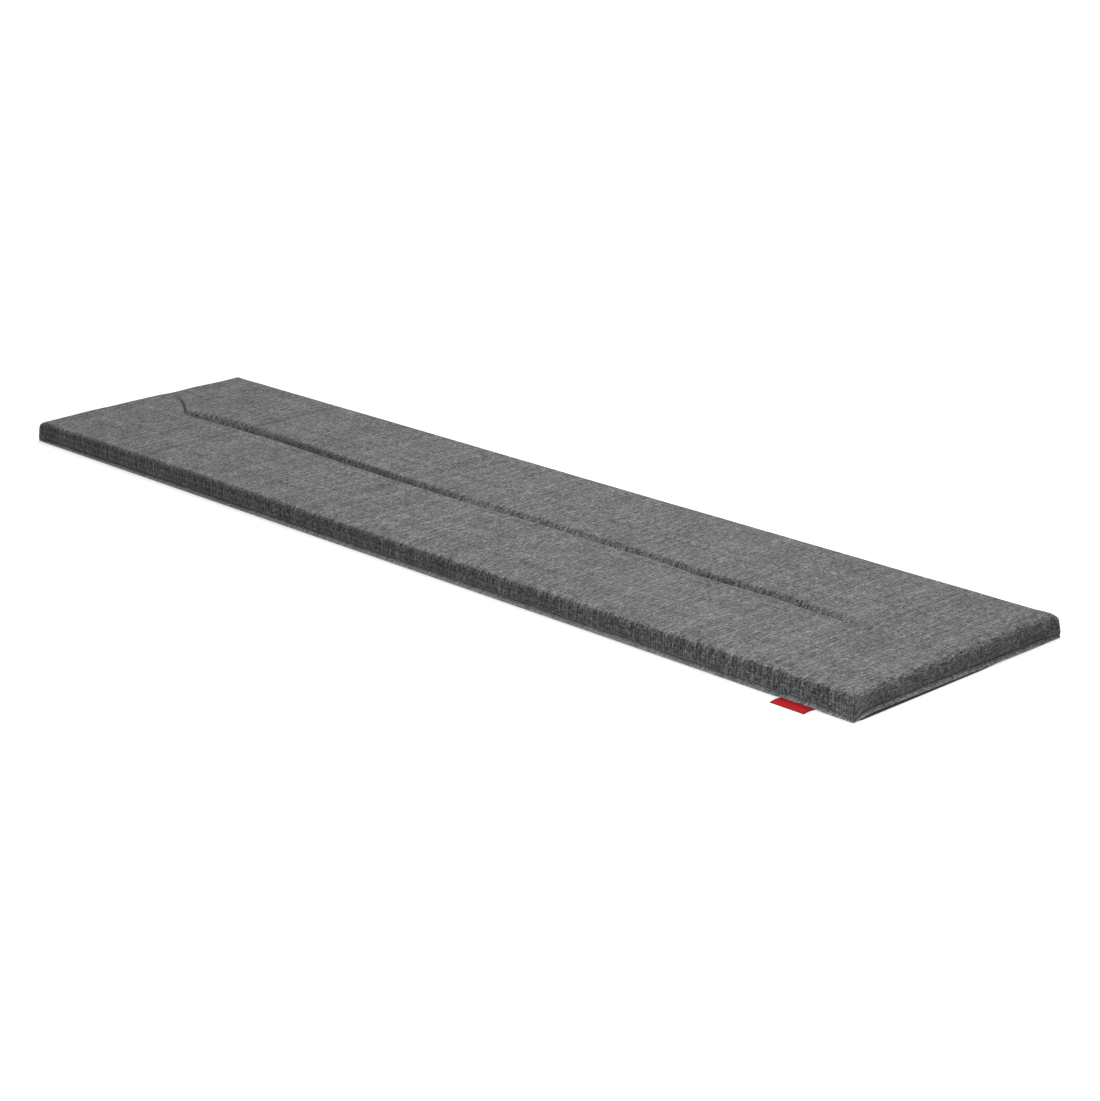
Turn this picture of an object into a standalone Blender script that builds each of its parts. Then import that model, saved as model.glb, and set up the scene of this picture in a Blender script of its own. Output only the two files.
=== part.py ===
"""Bench cushion: a long, thin seat pad in woven cloth, lying on a flat surface.

Metres, +Z up. The origin is the centre of the underside. X runs along the pad, and -Y is the long side
that carries the ribbon tab.

The pad has three pieces. The filled cover is the top cloth drawn over its foam: rounded top edge, slight
crown, a sewn-down furrow along the middle, and sides drawn in at a stitched groove above a narrow lip. The
base panel is the flat cloth below it, seamed to the lip's edge. The side tab is a ribbon caught in that seam.
"""

import math
from collections import namedtuple

import bmesh
import bpy
import numpy as np

# Driving dimensions
LENGTH = 1.400
WIDTH = 0.332
EDGE_HEIGHT = 0.0272
CROWN = 0.0012
CROWN_POWER = 8
CLOTH = 0.0010
GAP = 0.0003

# The rounded outline: its corner square in the uncut box, and its radius at the seam, wall and top
CORNER = 0.006
SEAM_RADIUS = 0.0025
WALL_RADIUS = 0.0032
TOP_RADIUS = 0.0060

# The round edge between wall and top
EDGE_RADIUS = 0.0080
EDGE_STEPS = 5
WALL_INSET = 0.0010
WALL_TOP = EDGE_HEIGHT - EDGE_RADIUS
TOP_INSET = WALL_INSET + EDGE_RADIUS

# One row for each ring of the side, from the base up. corner is the inset beside a corner, where the cloth
# is bunched and the groove is shallow. rise is the share of the seam's lift that the ring follows.
SideRow = namedtuple("SideRow", "inset corner height radius rise")
SIDE_ROWS = (
    SideRow(0.0008, 0.0008, CLOTH + GAP, SEAM_RADIUS, 1.0),  # lower edge of the lip
    SideRow(0.0000, 0.0000, 0.0018, SEAM_RADIUS, 1.0),  # seam, the pad's outermost line
    SideRow(0.0016, 0.0006, 0.0040, SEAM_RADIUS, 1.0),  # sloping face of the lip
    SideRow(0.0027, 0.0010, 0.0050, SEAM_RADIUS, 1.0),  # crest of the lip
    SideRow(0.0034, 0.0014, 0.0053, WALL_RADIUS, 1.0),  # stitched groove
    SideRow(0.0016, 0.0008, 0.0064, WALL_RADIUS, 0.9),  # wall turning under into the groove
    SideRow(0.0006, 0.0005, 0.0086, WALL_RADIUS, 0.7),
    SideRow(0.0004, 0.0003, 0.0130, WALL_RADIUS, 0.3),  # fullest line of the wall
)
NEAR_CORNER = 0.016

# The lift: at the right end, near the front corner, the seam has rolled up off the surface
LIFT = 0.0022
LIFT_REACH = 0.005
LIFT_START = -0.162
LIFT_FULL_FROM = -0.138
LIFT_FULL_TO = -0.050
LIFT_END = 0.105

# The furrow: its stitch line, its depth there, and how far its near and far shoulders reach from the line.
# The first rows are the creased cloth at the left end, and in the last ones the furrow fades out.
FurrowRow = namedtuple("FurrowRow", "x y depth near far")
FURROW_ROWS = (
    FurrowRow(-0.652, 0.028, 0.0000, 0.006, 0.007),
    FurrowRow(-0.640, 0.023, 0.0018, 0.006, 0.007),
    FurrowRow(-0.620, 0.011, 0.0024, 0.006, 0.008),
    FurrowRow(-0.600, -0.002, 0.0028, 0.007, 0.009),
    FurrowRow(-0.585, -0.009, 0.0038, 0.008, 0.012),
    FurrowRow(-0.568, -0.003, 0.0062, 0.010, 0.018),
    FurrowRow(-0.545, 0.001, 0.0085, 0.012, 0.019),
    FurrowRow(-0.500, 0.004, 0.0100, 0.012, 0.018),
    FurrowRow(-0.400, 0.006, 0.0105, 0.012, 0.014),
    FurrowRow(-0.300, 0.003, 0.0105, 0.012, 0.012),
    FurrowRow(-0.200, 0.002, 0.0100, 0.012, 0.011),
    FurrowRow(-0.120, 0.000, 0.0090, 0.012, 0.011),
    FurrowRow(0.000, -0.002, 0.0070, 0.012, 0.016),
    FurrowRow(0.100, 0.001, 0.0066, 0.012, 0.014),
    FurrowRow(0.260, 0.002, 0.0062, 0.012, 0.011),
    FurrowRow(0.380, -0.002, 0.0074, 0.012, 0.015),
    FurrowRow(0.460, 0.001, 0.0062, 0.012, 0.012),
    FurrowRow(0.520, -0.005, 0.0054, 0.012, 0.013),
    FurrowRow(0.560, -0.008, 0.0038, 0.012, 0.012),
    FurrowRow(0.590, -0.009, 0.0018, 0.010, 0.010),
    FurrowRow(0.610, -0.009, 0.0000, 0.010, 0.010),
)
DEEPEST = max(row.depth for row in FURROW_ROWS)
STEEP_SHARE = 0.35
FURROW_PULL = 0.060
TWIN_SHARE = 0.6

# Where the uncut box gets its loop cuts: evenly along it, closer by the furrow, its ends and the corners
LONG_STEP = 0.031
HOOK_CUTS = (-0.652, -0.640, -0.630, -0.620, -0.610, -0.600, -0.592, -0.585, -0.577, -0.568, -0.545)
FADE_CUTS = (0.520, 0.540, 0.560, 0.575, 0.590, 0.610, 0.640)
NEAR_CUTS = (-0.036, -0.020, -0.012, -0.0085, -0.0045, 0.0)
FAR_CUTS = (0.0045, 0.0085, 0.0125, 0.0175, 0.028, 0.045)
WIDE_CUTS = (0.070, 0.100, 0.128)
BESIDE_CORNER_CUTS = (0.0, 0.006, 0.014, 0.026)
CORNER_CUTS = (0.35, 0.70, 1.0)

# Side tab: a ribbon folded double
TAB_WIDTH = 0.044
TAB_LENGTH = 0.0176
TAB_THICKNESS = 0.0010
TAB_X = 0.630
TAB_DROOP = 0.0010
TAB_LEVEL_SHARE = 0.2
TAB_STEPS = 8

MELANGE_GREY = (0.180, 0.183, 0.190, 1.0)
DARK_GREY = (0.060, 0.061, 0.064, 1.0)
RED = (0.610, 0.015, 0.025, 1.0)
SMOOTH_ANGLE = math.radians(50)
SAME_PLACE = 1e-7


def smooth_step(low, high, value):
    """0 below low, 1 above high, and an eased ramp between them."""
    share = min(max((value - low) / (high - low), 0.0), 1.0)
    return share * share * (3.0 - 2.0 * share)


def cut_box(x_cuts, y_cuts, z_cuts):
    """A box primitive between the first and last cuts, with a loop cut at each one between them."""
    bm = bmesh.new()
    bmesh.ops.create_cube(bm, size=1.0)
    for axis, cuts in enumerate((x_cuts, y_cuts, z_cuts)):
        for vert in bm.verts:
            vert.co[axis] = cuts[0] if vert.co[axis] < 0 else cuts[-1]
        for cut in cuts[1:-1]:
            place = [0.0, 0.0, 0.0]
            normal = [0.0, 0.0, 0.0]
            place[axis] = cut
            normal[axis] = 1.0
            everything = bm.verts[:] + bm.edges[:] + bm.faces[:]
            bmesh.ops.bisect_plane(bm, geom=everything, dist=SAME_PLACE, plane_co=place, plane_no=normal)
    return bm


def outline_cuts(half, inner_cuts):
    """The cuts across one direction of the pad, with those that round its corners at both ends."""
    corner = [half - CORNER + CORNER * share for share in CORNER_CUTS]
    beside = [half - CORNER - step for step in BESIDE_CORNER_CUTS]
    outer = sorted(corner + beside)
    return sorted([-cut for cut in outer] + list(inner_cuts) + outer)


def pad_cuts():
    """The loop cuts of the pad, along and across it."""
    steps = math.ceil((FADE_CUTS[0] - HOOK_CUTS[-1]) / LONG_STEP)
    even = [float(cut) for cut in np.linspace(HOOK_CUTS[-1], FADE_CUTS[0], steps + 1)[1:-1]]
    along = list(HOOK_CUTS) + even + list(FADE_CUTS)
    across = [-cut for cut in WIDE_CUTS] + list(NEAR_CUTS + FAR_CUTS + WIDE_CUTS)
    return outline_cuts(LENGTH / 2, along), outline_cuts(WIDTH / 2, across)


def plan_point(x, y, inset, radius):
    """Moves a point of the uncut box to the rounded outline with this inset and corner radius."""
    core = (LENGTH / 2 - CORNER, WIDTH / 2 - CORNER)
    share = [max(0.0, (abs(value) - side) / CORNER) for value, side in zip((x, y), core)]
    flat = (LENGTH / 2 - inset - radius, WIDTH / 2 - inset - radius)
    moved = []
    for value, side, reach, along, across in zip((x, y), core, flat, share, reversed(share)):
        size = min(abs(value), side) / side * reach
        size += radius * along * math.sqrt(1.0 - across * across / 2.0)
        moved.append(math.copysign(size, value))
    return moved


def beside_corner(x, y):
    """1 at a corner of the pad, easing to 0 further along its sides."""
    from_corner = max(LENGTH / 2 - CORNER - abs(x), WIDTH / 2 - CORNER - abs(y))
    return 1.0 - smooth_step(0.0, NEAR_CORNER, from_corner)


def seam_lift(x, y):
    """How far the seam stands above its usual height here. Only the right end has any lift."""
    if x < 0:
        return 0.0
    return LIFT * smooth_step(LIFT_START, LIFT_FULL_FROM, y) * (1.0 - smooth_step(LIFT_FULL_TO, LIFT_END, y))


def underside(x, y, thickness):
    """The height of a layer this thick on the surface, whose rim curls up where the seam is lifted."""
    lift = seam_lift(x, y)
    rim = LENGTH / 2 - SIDE_ROWS[0].inset
    share = max(0.0, 1.0 - (rim - x) / LIFT_REACH)
    slope = 2.0 * lift * share / LIFT_REACH
    return lift * share**2 + thickness * math.hypot(1.0, slope)


def furrow_at(x):
    """The furrow's row at this x, worked out between the two nearest ones."""
    places = [row.x for row in FURROW_ROWS]
    return FurrowRow(*(float(np.interp(x, places, column)) for column in zip(*FURROW_ROWS)))


def furrow_share(from_line, row):
    """The share of the furrow's depth here: a straight wall from its line, then a round shoulder."""
    reach = row.far if from_line > 0 else row.near
    out = min(abs(from_line) / reach, 1.0)
    steepness = 2.0 / (1.0 + STEEP_SHARE)
    shoulder = steepness * (1.0 - max(out, STEEP_SHARE)) ** 2 / (2.0 * (1.0 - STEEP_SHARE))
    return shoulder + steepness * max(0.0, STEEP_SHARE - out)


def top_point(x, y):
    """A point of the top. The cuts near the furrow follow its line."""
    row = furrow_at(x)
    across = y + row.y * max(0.0, 1.0 - abs(y) / FURROW_PULL)
    half_x = LENGTH / 2 - TOP_INSET
    half_y = WIDTH / 2 - TOP_INSET
    dome = 1.0 - (y / half_y) ** 2
    twin = 1.0 - (2.0 * abs(y) / half_y - 1.0) ** 2
    bulge = dome + TWIN_SHARE * row.depth / DEEPEST * (twin - dome)
    crown = CROWN * bulge * (1.0 - (x / half_x) ** CROWN_POWER)
    return x, across, EDGE_HEIGHT + crown - row.depth * furrow_share(y, row)


def edge_rows():
    """The rings of the round edge, from the top of the wall to the rim of the top."""
    rows = []
    for step in range(EDGE_STEPS + 1):
        angle = math.pi / 2 * step / EDGE_STEPS
        inset = TOP_INSET - EDGE_RADIUS * math.cos(angle)
        height = WALL_TOP + EDGE_RADIUS * math.sin(angle)
        radius = WALL_RADIUS + (TOP_RADIUS - WALL_RADIUS) * step / EDGE_STEPS
        rows.append(SideRow(inset, inset, height, radius, 0.0))
    return rows


def merge_level_faces(bm, height):
    """Joins the level faces at this height, which need none of the loop cuts, into one."""
    level = [face for face in bm.faces if all(abs(vert.co.z - height) < SAME_PLACE for vert in face.verts)]
    bmesh.ops.dissolve_faces(bm, faces=level)


def new_object(name, bm, material, collection, parent):
    """Turns the bmesh into a smooth-shaded object with its material, under the pad's empty."""
    bm.normal_update()
    mesh = bpy.data.meshes.new(name)
    bm.to_mesh(mesh)
    bm.free()
    mesh.materials.append(material)
    mesh.shade_smooth()
    mesh.set_sharp_from_angle(angle=SMOOTH_ANGLE)
    created = bpy.data.objects.new(name, mesh)
    created.parent = parent
    collection.objects.link(created)
    return created


def cloth_material(name, colour, roughness):
    """A matt, non-metallic Principled material in this colour."""
    material = bpy.data.materials.new(name)
    material.use_nodes = True
    shader = material.node_tree.nodes["Principled BSDF"]
    shader.inputs["Base Color"].default_value = colour
    shader.inputs["Roughness"].default_value = roughness
    shader.inputs["Metallic"].default_value = 0.0
    material.diffuse_color = colour
    return material


def build_filled_cover(collection, parent):
    """The top cloth and its filling, from the lip's lower edge to the crown."""
    rows = list(SIDE_ROWS) + edge_rows()
    last = len(rows) - 1
    along, across = pad_cuts()
    bm = cut_box(along, across, range(last + 1))
    for vert in bm.verts:
        ring = round(vert.co.z)
        row = rows[ring]
        inset = row.inset + (row.corner - row.inset) * beside_corner(vert.co.x, vert.co.y)
        x, y = plan_point(vert.co.x, vert.co.y, inset, row.radius)
        if ring == 0:
            vert.co = (x, y, underside(x, y, CLOTH + GAP))
        elif ring == last:
            vert.co = top_point(x, y)
        else:
            vert.co = (x, y, row.height + row.rise * seam_lift(x, y))
    merge_level_faces(bm, CLOTH + GAP)
    material = cloth_material("melange_cloth", MELANGE_GREY, 0.92)
    return new_object("filled_cover", bm, material, collection, parent)


def build_base_panel(collection, parent):
    """The flat base cloth, whose rim curls up to the seam at the right end."""
    bm = cut_box(*pad_cuts(), (0, 1))
    for vert in bm.verts:
        x, y = plan_point(vert.co.x, vert.co.y, SIDE_ROWS[0].inset, SEAM_RADIUS)
        vert.co = (x, y, underside(x, y, CLOTH * round(vert.co.z)))
    merge_level_faces(bm, 0.0)
    merge_level_faces(bm, CLOTH)
    material = cloth_material("base_cloth", DARK_GREY, 0.90)
    return new_object("base_panel", bm, material, collection, parent)


def build_side_tab(collection, parent):
    """The ribbon: level where it leaves the seam, then drooping until its folded end meets the surface."""
    outward = [-TAB_LENGTH * (1.0 - step / TAB_STEPS) for step in range(TAB_STEPS + 1)]
    bm = cut_box((-TAB_WIDTH / 2, TAB_WIDTH / 2), outward, (0.0, TAB_THICKNESS))
    for vert in bm.verts:
        vert.co.z += TAB_DROOP * smooth_step(-TAB_LENGTH * (1.0 - TAB_LEVEL_SHARE), 0.0, vert.co.y)
    material = cloth_material("ribbon", RED, 0.70)
    tab = new_object("side_tab", bm, material, collection, parent)
    tab.location = (TAB_X, -WIDTH / 2 - GAP, GAP)
    return tab


def main():
    for old in list(bpy.data.objects):
        bpy.data.objects.remove(old, do_unlink=True)
    collection = bpy.data.collections.new("bench_cushion")
    bpy.context.scene.collection.children.link(collection)
    centre = bpy.data.objects.new("underside_centre", None)
    centre.empty_display_size = 0.05
    collection.objects.link(centre)
    build_filled_cover(collection, centre)
    build_base_panel(collection, centre)
    build_side_tab(collection, centre)


main()
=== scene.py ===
# %% [markdown]
# # Dressing a bench cushion
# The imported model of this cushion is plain: a smooth pad, a flat base and a small flag of ribbon. This
# lesson gives it the cloth, seams, creases and light of the real one, cell by cell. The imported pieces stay
# where they are as the frame, and every new piece is built in the same metres, so nothing has to be fitted
# afterwards.

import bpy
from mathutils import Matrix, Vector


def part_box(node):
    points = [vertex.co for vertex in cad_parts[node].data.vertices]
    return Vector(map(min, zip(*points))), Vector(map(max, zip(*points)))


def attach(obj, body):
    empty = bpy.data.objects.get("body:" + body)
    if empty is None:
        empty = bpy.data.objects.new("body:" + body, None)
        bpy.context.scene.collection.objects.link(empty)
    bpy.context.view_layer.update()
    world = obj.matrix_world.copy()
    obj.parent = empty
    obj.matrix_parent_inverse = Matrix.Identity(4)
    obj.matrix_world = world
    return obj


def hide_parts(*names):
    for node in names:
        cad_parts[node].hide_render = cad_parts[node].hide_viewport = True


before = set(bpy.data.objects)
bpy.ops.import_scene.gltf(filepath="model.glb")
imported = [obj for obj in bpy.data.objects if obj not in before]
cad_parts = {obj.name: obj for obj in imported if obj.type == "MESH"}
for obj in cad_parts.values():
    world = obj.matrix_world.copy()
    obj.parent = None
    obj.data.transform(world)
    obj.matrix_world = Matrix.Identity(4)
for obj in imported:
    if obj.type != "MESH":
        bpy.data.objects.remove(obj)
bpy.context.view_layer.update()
print("packed pieces:", ", ".join(sorted(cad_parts)))

# %% The modules that build meshes and materials
import math
from collections import namedtuple

import bmesh
import bpy
import numpy as np
from mathutils import Matrix, Vector

# %% [markdown]
# ## The camera
# The camera comes first, because every later choice is judged through it. A long lens stands well back and
# a little above the pad, turned left so that the pad runs from far left to near right. Its place was found
# from the pad's four lower corners: with the length fixed, only one place shows them where the photograph
# does. Blender could aim a camera with a Track To constraint, but three plain turns say exactly what it
# does.

# %% The camera
CAMERA_PLACE = Vector((2.187, -1.980, 0.955))
TURN_LEFT = math.radians(46.43)
LOOK_DOWN = math.radians(18.47)
LEAN = math.radians(-0.6)
LENS_MM = 85.63
FRAME_MM = 36.0


def linked(name, data):
    """Puts a mesh, camera or light into the scene as an object of this name."""
    thing = bpy.data.objects.new(name, data)
    bpy.context.scene.collection.objects.link(thing)
    return thing


def photo_camera():
    """A camera that sees the pad from the photograph's place."""
    data = bpy.data.cameras.new("photo_camera")
    data.sensor_fit = "VERTICAL"
    data.sensor_height = FRAME_MM
    data.lens = LENS_MM
    camera = linked("photo_camera", data)
    turn = Matrix.Rotation(TURN_LEFT, 4, "Z")
    tip = Matrix.Rotation(math.pi / 2 - LOOK_DOWN, 4, "X")
    lean = Matrix.Rotation(LEAN, 4, "Z")
    camera.matrix_world = Matrix.Translation(CAMERA_PLACE) @ turn @ tip @ lean
    return camera


bpy.context.scene.camera = photo_camera()
print("camera stands", round(CAMERA_PLACE.length, 2), "m from the middle of the pad")

# %% [markdown]
# ## The studio
# The pad lies on a plain white table that runs past every edge of the picture. As on a photographer's light
# table, the surface glows a little, so the pad's own shadow stays faint. Light that bounced back from it
# would make the walls as bright as the top, and in the photograph they are only a third as bright. So the
# table is left out of what lights the pad: its diffuse and its glossy visibility are both off, and an even,
# weak sky stands in for it. It lies a hair below the pad, because two faces in one plane flicker through
# each other.

# %% The floor
FLOOR_SIDE = 60.0
FLOOR_BELOW = 0.0002
FLOOR_GREY = 0.90
FLOOR_GLOW = 0.52


def mesh_from(name, bm):
    """Turns a finished bmesh into a mesh of this name."""
    mesh = bpy.data.meshes.new(name)
    bm.to_mesh(mesh)
    bm.free()
    return mesh


def new_material(name, **sockets):
    """A material with its node tree and its shader, whose named sockets get these plain values."""
    material = bpy.data.materials.new(name)
    material.use_nodes = True
    shader = material.node_tree.nodes["Principled BSDF"]
    for socket, value in sockets.items():
        shader.inputs[socket.replace("_", " ")].default_value = value
    return material, material.node_tree, shader


def pale_floor():
    """One big plane, just under the pad, that isn't part of it."""
    bm = bmesh.new()
    bmesh.ops.create_grid(bm, x_segments=1, y_segments=1, size=FLOOR_SIDE / 2)
    floor = linked("floor", mesh_from("floor", bm))
    floor.location.z = -FLOOR_BELOW
    paint, _, _ = new_material(
        "floor_paint", Base_Color=(FLOOR_GREY, FLOOR_GREY, FLOOR_GREY, 1.0), Roughness=1.0,
        Specular_IOR_Level=0.0, Emission_Color=(1.0, 1.0, 1.0, 1.0), Emission_Strength=FLOOR_GLOW)
    floor.data.materials.append(paint)
    floor.visible_diffuse = floor.visible_glossy = False
    return floor


pale_floor()

# %% The lights
SKY_STRENGTH = 0.20
SUN_STRENGTH = 1.50
SUN_WIDTH = math.radians(64)
SUN_FROM = Vector((-0.20, 0.42, 1.0))
LAMP_WIDTH = 0.5
OVER_PLACE, OVER_POWER = Vector((0.00, 0.32, 0.95)), 2.6
SIDE_PLACE, SIDE_POWER = Vector((1.02, -0.78, 0.42)), 2.3


def add_light(name, kind, power, place):
    """A white light, turned so that it shines from its place towards the middle of the pad."""
    lamp = bpy.data.lights.new(name, kind)
    lamp.energy = power
    light = linked(name, lamp)
    light.location = place
    light.rotation_euler = place.to_track_quat("Z", "Y").to_euler()
    light.visible_camera = False
    return lamp


def studio_light():
    """A white sky, one broad sun, a soft lamp over the right half and a weak one by the near corner."""
    world = bpy.data.worlds.new("studio")
    world.use_nodes = True
    sky = world.node_tree.nodes["Background"]
    sky.inputs["Color"].default_value = (1.0, 1.0, 1.0, 1.0)
    sky.inputs["Strength"].default_value = SKY_STRENGTH
    bpy.context.scene.world = world
    add_light("broad_sun", "SUN", SUN_STRENGTH, SUN_FROM).angle = SUN_WIDTH
    lamps = (("lamp_above", OVER_POWER, OVER_PLACE), ("lamp_beside", SIDE_POWER, SIDE_PLACE))
    for name, power, place in lamps:
        lamp = add_light(name, "AREA", power, place)
        lamp.shape = "DISK"
        lamp.size = LAMP_WIDTH


studio_light()
bpy.context.scene.view_settings.view_transform = "Standard"

# %% [markdown]
# ## The pad's outline
# The cover is cut from one cloth: a top panel whose four sides fold down and meet in a short dart at each
# corner. It could be sculpted from a box, but the seams need to run exactly along mesh lines, so the mesh
# is laid out like the cut cloth instead: a grid for the top panel, and rings of faces going down from its
# rim. The same layout is made twice. An even one is filled by simulation, and a finer one, whose cuts lie
# closer together at the furrow, the creases and the corners, becomes the cloth that shows.

# %% Sizes read from the frame
low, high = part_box("filled_cover")
HALF_LENGTH = (high.x - low.x) / 2
HALF_WIDTH = (high.y - low.y) / 2
CORNER = 0.006
EDGE_HEIGHT = 0.0271
TOP_BELOW = 0.001
CROWN = 0.0004
CROWN_POWER = 8
print("pad:", round(2 * HALF_LENGTH, 3), "by", round(2 * HALF_WIDTH, 3), "m, top at", round(high.z, 4))


def smooth_step(start, end, value):
    """0 before start, 1 after end, and an eased ramp between them."""
    share = np.clip((value - start) / (end - start), 0.0, 1.0)
    return share * share * (3.0 - 2.0 * share)


# %% Cuts along and across the top panel
EVEN_STEP, OPEN_STEP = 0.0100, 0.0090
HOOK_SPAN, HOOK_STEP = (-0.670, -0.550), 0.0034
END_REACH, END_STEP = 0.035, 0.0045
STEPS_ACROSS = ((0.005, 0.0014), (0.016, 0.0020), (0.026, 0.0040), (HALF_WIDTH - 0.025, 0.0085))
CORNER_CUTS = np.array((0.35, 0.70, 1.0))


def cuts_between(start, end, step_at):
    """Places from start to end. step_at says how far the next cut lies from a place."""
    places = [start]
    while places[-1] < end:
        places.append(places[-1] + step_at(places[-1]))
    places = np.array(places)
    return start + (places - start) * (end - start) / (places[-1] - start)


def even_step(place):
    """The step of the layout that is filled is the same everywhere."""
    return EVEN_STEP


def step_along(x):
    """Short steps by the creased left end of the furrow and by both ends of the pad."""
    if HOOK_SPAN[0] < x < HOOK_SPAN[1]:
        return HOOK_STEP
    return END_STEP if abs(x) > HALF_LENGTH - END_REACH else OPEN_STEP


def step_across(y):
    """Short steps by the furrow, whose line every cut near the middle will follow."""
    for reach, step in STEPS_ACROSS:
        if abs(y) < reach:
            return step
    return END_STEP


def with_corner_cuts(half, step_at):
    """The cuts from one end of the panel to the other, with the ones that round its corners."""
    beyond = half - CORNER + CORNER * CORNER_CUTS
    return np.concatenate((-beyond[::-1], cuts_between(CORNER - half, half - CORNER, step_at), beyond))


Cuts = namedtuple("Cuts", "along across")
even_cuts = Cuts(with_corner_cuts(HALF_LENGTH, even_step), with_corner_cuts(HALF_WIDTH, even_step))
fine_cuts = Cuts(with_corner_cuts(HALF_LENGTH, step_along), with_corner_cuts(HALF_WIDTH, step_across))
for cuts in (even_cuts, fine_cuts):
    print("cuts:", len(cuts.along), "along and", len(cuts.across), "across")


# %% Rounding the outline
def rounded(x, y, inset, radius):
    """Moves points of the plain rectangle to the rounded outline with this inset and corner radius."""
    core = (HALF_LENGTH - CORNER, HALF_WIDTH - CORNER)
    share = [np.clip((abs(value) - side) / CORNER, 0.0, 1.0) for value, side in zip((x, y), core)]
    moved = []
    for value, side, half, along, beside in zip((x, y), core, (HALF_LENGTH, HALF_WIDTH), share, share[::-1]):
        size = np.minimum(abs(value), side) / side * (half - inset - radius)
        moved.append(np.copysign(size + radius * along * np.sqrt(1.0 - beside * beside / 2.0), value))
    return moved


def by_corner(x, y, reach=0.016):
    """1 at the pad's corners, easing to 0 further along its sides."""
    away = np.maximum(HALF_LENGTH - CORNER - abs(x), HALF_WIDTH - CORNER - abs(y))
    return 1.0 - smooth_step(0.0, reach, away)


# %% [markdown]
# ## The side, ring by ring
# Seen in section, the side goes over a round edge, down a wall that bulges a little, and under into a
# groove, where the topstitching holds both cloths together. Below the groove a narrow lip slopes out to the
# seam, the pad's outermost line, and turns back under the pad. Each row of the table is one ring of the
# mesh. At the corners the cloth is bunched, so the groove is shallow there. Towards the left the round edge
# is tighter, and the lip changes its thickness along the pad. At the right end the seam has rolled up off
# the surface, and the lower rings rise with it. Where the ribbon comes out, the lip passes over it.

# %% The rings of the side
SideRow = namedtuple("SideRow", "inset corner height rise over radius")
WALL_RADIUS = 0.0024
TOP_RADIUS = 0.0054
SEAM_RADIUS = 0.0030
EDGE_RADIUS = 0.0080
EDGE_STEPS = 6
LEFT_EDGE, EDGE_EASE = 0.76, (-0.45, 0.15)
WALL_INSET = 0.0011
CORNER_OUT = 0.0015
WALL_ROWS = (
    (0.0008, -0.0008, 0.0160, 0.2, 0.0),  # wall
    (0.0006, -0.0010, 0.0125, 0.4, 0.0),  # its fullest line
    (0.0008, -0.0011, 0.0098, 0.6, 0.0),
    (0.0016, -0.0011, 0.0078, 0.8, 0.0),
    (0.0029, -0.0010, 0.0063, 0.9, 0.1),  # turning under
    (0.0047, -0.0008, 0.0052, 1.0, 0.2),
    (0.0060, -0.0005, 0.0045, 1.0, 0.3),  # stitched groove
)
LIP_ROWS = (
    (0.0053, -0.0006, 0.0044, 1.0, 0.3),  # inner edge of the lip
    (0.0038, -0.0009, 0.0043, 1.0, 0.4),  # crest of the lip
    (0.0020, -0.0011, 0.0032, 1.0, 0.6),  # sloping face of the lip
    (0.0004, -0.0013, 0.0020, 1.0, 0.8),
    (-0.0013, -0.0014, 0.0008, 1.0, 0.9),  # seam
    (-0.0015, -0.0013, 0.0002, 1.0, 1.0),  # lower edge of the lip
    (0.0010, 0.0006, 0.0001, 1.0, 1.0),  # cloth turned under
    (0.0036, 0.0034, 0.0011, 0.6, 0.8),
    (0.0100, 0.0100, 0.0013, 0.0, 0.0),  # edge of the flat underside
)
LEFT_CORNER = -0.0009
WALL_TOP = 0.0165
GROOVE_FROM_END = 10
SEAM_BELT = 0.0010


def edge_rows():
    """The rings of the round edge, from the rim of the top down to the wall."""
    rows = []
    for step in range(EDGE_STEPS + 1):
        share = step / EDGE_STEPS
        angle = math.pi / 2 * share
        inset = WALL_INSET + EDGE_RADIUS * (1.0 - math.sin(angle))
        height = EDGE_HEIGHT - EDGE_RADIUS * (1.0 - math.cos(angle))
        radius = TOP_RADIUS + (WALL_RADIUS - TOP_RADIUS) * share
        rows.append(SideRow(inset, inset - CORNER_OUT * share, height, 0.0, 0.0, radius))
    return rows


def edge_share(x):
    """How wide the round edge is here, as a share of its full radius: it is tighter towards the left end."""
    return LEFT_EDGE + (1.0 - LEFT_EDGE) * smooth_step(*EDGE_EASE, x)


side_rows = edge_rows()
for rows, radius in ((WALL_ROWS, WALL_RADIUS), (LIP_ROWS, SEAM_RADIUS)):
    side_rows += [SideRow(*row, radius) for row in rows]
groove_row = side_rows[-GROOVE_FROM_END]
print("rings:", len(side_rows), "and the groove lies", 1000 * groove_row.inset, "mm in from the seam")

# %% Where the seam is lifted, and where the lip crosses the ribbon
LIFT = 0.0028
LIFT_PLACES = (-0.1645, -0.158, -0.148, -0.135, -0.115, -0.090, -0.050, 0.000, 0.050, 0.105)
GROOVE_LIFTS = (0.00, 0.12, 0.69, 0.86, 0.86, 0.86, 0.86, 0.72, 0.39, 0.00)
SEAM_LIFTS = (0.00, 0.38, 0.76, 1.10, 1.14, 1.00, 0.80, 0.62, 0.36, 0.00)
tab_low, tab_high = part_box("side_tab")
TAB_X = (tab_low.x + tab_high.x) / 2
TAB_WIDTH = tab_high.x - tab_low.x
RIBBON_PAIR = 0.0010
TAB_EASE = 0.008
RIGHT_PART = 0.5


def right_end_lift(x, y, shares):
    """How far a line of sewing stands above its usual height: only the right end has any lift."""
    return np.where(x > RIGHT_PART, LIFT * np.interp(y, LIFT_PLACES, shares), 0.0)


def over_ribbon(x, y):
    """How far the lip is pushed up where the ribbon leaves the seam."""
    away = abs(x - TAB_X) - TAB_WIDTH / 2
    return np.where(y < -HALF_WIDTH / 2, RIBBON_PAIR * (1.0 - smooth_step(0.0, TAB_EASE, away)), 0.0)


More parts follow.
